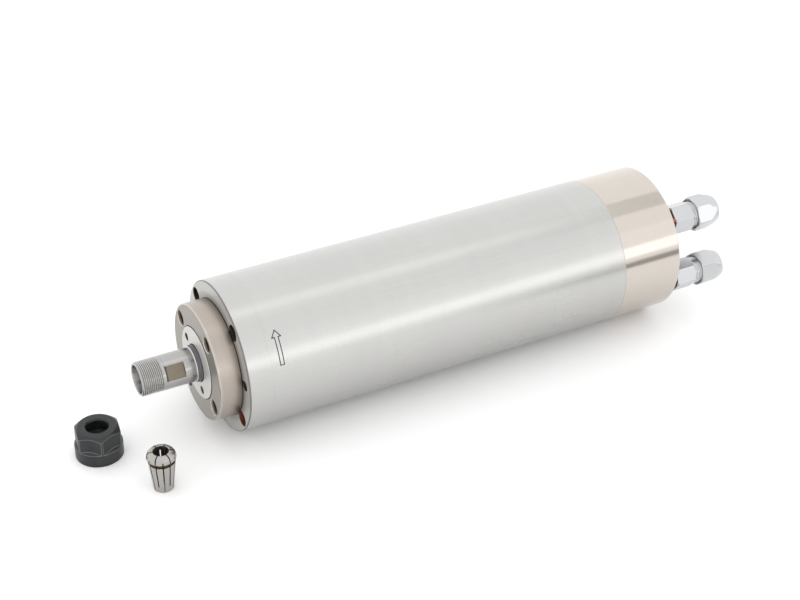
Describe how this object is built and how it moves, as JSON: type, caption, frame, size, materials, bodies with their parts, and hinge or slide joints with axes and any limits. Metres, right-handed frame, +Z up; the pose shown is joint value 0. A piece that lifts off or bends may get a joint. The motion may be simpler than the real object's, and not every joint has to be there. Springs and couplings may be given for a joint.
{
  "type": "motor spindle",
  "caption": "Water-cooled motor spindle with a round barrel, threaded collet nose, loose collet nut and collet, and two rear hose fittings beside a panel socket.",
  "frame": {"origin": "on the spindle axis, at the front face of the barrel", "axes": "+X along the axis from the nose to the tail, +Z up with the spindle lying on its side"},
  "size_m": [0.2848, 0.0656, 0.062],
  "materials": {
    "tube_steel": "ground stainless tube, fine streaks along its length",
    "flange_steel": "turned stainless face",
    "cap_steel": "bright turned stainless",
    "cover_nickel": "satin nickel, faint turning marks",
    "ring_steel": "fine turned steel",
    "shaft_steel": "ground steel",
    "fitting_chrome": "bright plated brass",
    "seal_red": "matt red rubber",
    "seal_black": "matt black rubber",
    "screw_steel": "blackened steel",
    "nut_black": "black oxide, satin",
    "collet_steel": "ground spring steel",
    "sleeve_aluminium": "machined aluminium",
    "lamination_steel": "stacked electrical steel",
    "winding_copper": "varnished copper wire",
    "bearing_steel": "hardened and polished",
    "spring_steel": "blued spring steel",
    "socket_metal": "nickel-plated shell",
    "socket_plastic": "black moulded insulator",
    "pin_brass": "plated contact brass",
    "lead_insulation": "heat-proof lead insulation"
  },
  "bodies": {
    "housing": {"front_shield": "flange_steel", "bearing_cover": "cover_nickel", "dust_ring": "ring_steel", "jacket_tube": "tube_steel", "water_sleeve": "sleeve_aluminium", "sleeve_seals": "seal_black", "rear_shield": "sleeve_aluminium", "rear_cap": "cap_steel", "stator_core": "lamination_steel", "stator_windings": "winding_copper", "phase_leads": "lead_insulation", "preload_spring": "spring_steel", "front_outer_rings": "bearing_steel", "rear_outer_ring": "bearing_steel", "flange_screws": "screw_steel", "cover_screws": "screw_steel", "cap_screws": "screw_steel", "upper_hose_fitting": "fitting_chrome", "lower_hose_fitting": "fitting_chrome", "fitting_seals": "seal_red", "socket_shell": "socket_metal", "socket_gasket": "seal_black", "socket_nut": "socket_metal", "socket_insert": "socket_plastic", "socket_pins": "pin_brass"},
    "rotor": {"spindle_shaft": "shaft_steel", "labyrinth_collar": "shaft_steel", "front_inner_rings": "bearing_steel", "rear_inner_ring": "bearing_steel", "rotor_core": "lamination_steel", "rotor_end_rings": "sleeve_aluminium", "shaft_lock_nut": "screw_steel"},
    "front_balls": {"front_ball_sets": "bearing_steel"},
    "rear_balls": {"rear_ball_set": "bearing_steel"},
    "upper_clamp": {"upper_ferrule": "pin_brass"},
    "upper_nut": {"upper_hose_nut": "fitting_chrome"},
    "lower_clamp": {"lower_ferrule": "pin_brass"},
    "lower_nut": {"lower_hose_nut": "fitting_chrome"},
    "loose_nut": {"collet_nut": "nut_black"},
    "loose_collet": {"collet": "collet_steel"}
  },
  "joints": [
    {"name": "spindle_spin", "type": "hinge", "parent": "housing", "child": "rotor", "pos_m": [0, 0, 0], "axis": [-1, 0, 0], "continuous": true},
    {"name": "front_balls_orbit", "type": "hinge", "parent": "housing", "child": "front_balls", "pos_m": [0.011, 0, 0], "axis": [-1, 0, 0], "continuous": true},
    {"name": "rear_balls_orbit", "type": "hinge", "parent": "housing", "child": "rear_balls", "pos_m": [0.156, 0, 0], "axis": [-1, 0, 0], "continuous": true},
    {"name": "upper_nut_travel", "type": "slide", "parent": "housing", "child": "upper_clamp", "axis": [1, 0, 0], "range_m": [-0.00101, 0.00301]},
    {"name": "upper_nut_turn", "type": "hinge", "parent": "upper_clamp", "child": "upper_nut", "pos_m": [0.2178, -0.01813, 0.01721], "axis": [1, 0, 0], "range_deg": [-360, 1080]},
    {"name": "lower_nut_travel", "type": "slide", "parent": "housing", "child": "lower_clamp", "axis": [1, 0, 0], "range_m": [-0.00101, 0.00301]},
    {"name": "lower_nut_turn", "type": "hinge", "parent": "lower_clamp", "child": "lower_nut", "pos_m": [0.2178, -0.02371, -0.00793], "axis": [1, 0, 0], "range_deg": [-360, 1080]},
    {"name": "collet_nut_lift", "type": "slide", "parent": "housing", "child": "loose_nut", "axis": [0, 0, 1], "range_m": [0, 0.12]},
    {"name": "collet_lift", "type": "slide", "parent": "housing", "child": "loose_collet", "axis": [0, 0, 1], "range_m": [0, 0.12]}
  ],
  "couplings": [
    {"joint": "front_balls_orbit", "follows": "spindle_spin", "ratio": 0.3987},
    {"joint": "rear_balls_orbit", "follows": "spindle_spin", "ratio": 0.381},
    {"joint": "upper_nut_travel", "follows": "upper_nut_turn", "m_per_rad": 0.00015915},
    {"joint": "lower_nut_travel", "follows": "lower_nut_turn", "m_per_rad": 0.00015915}
  ]
}
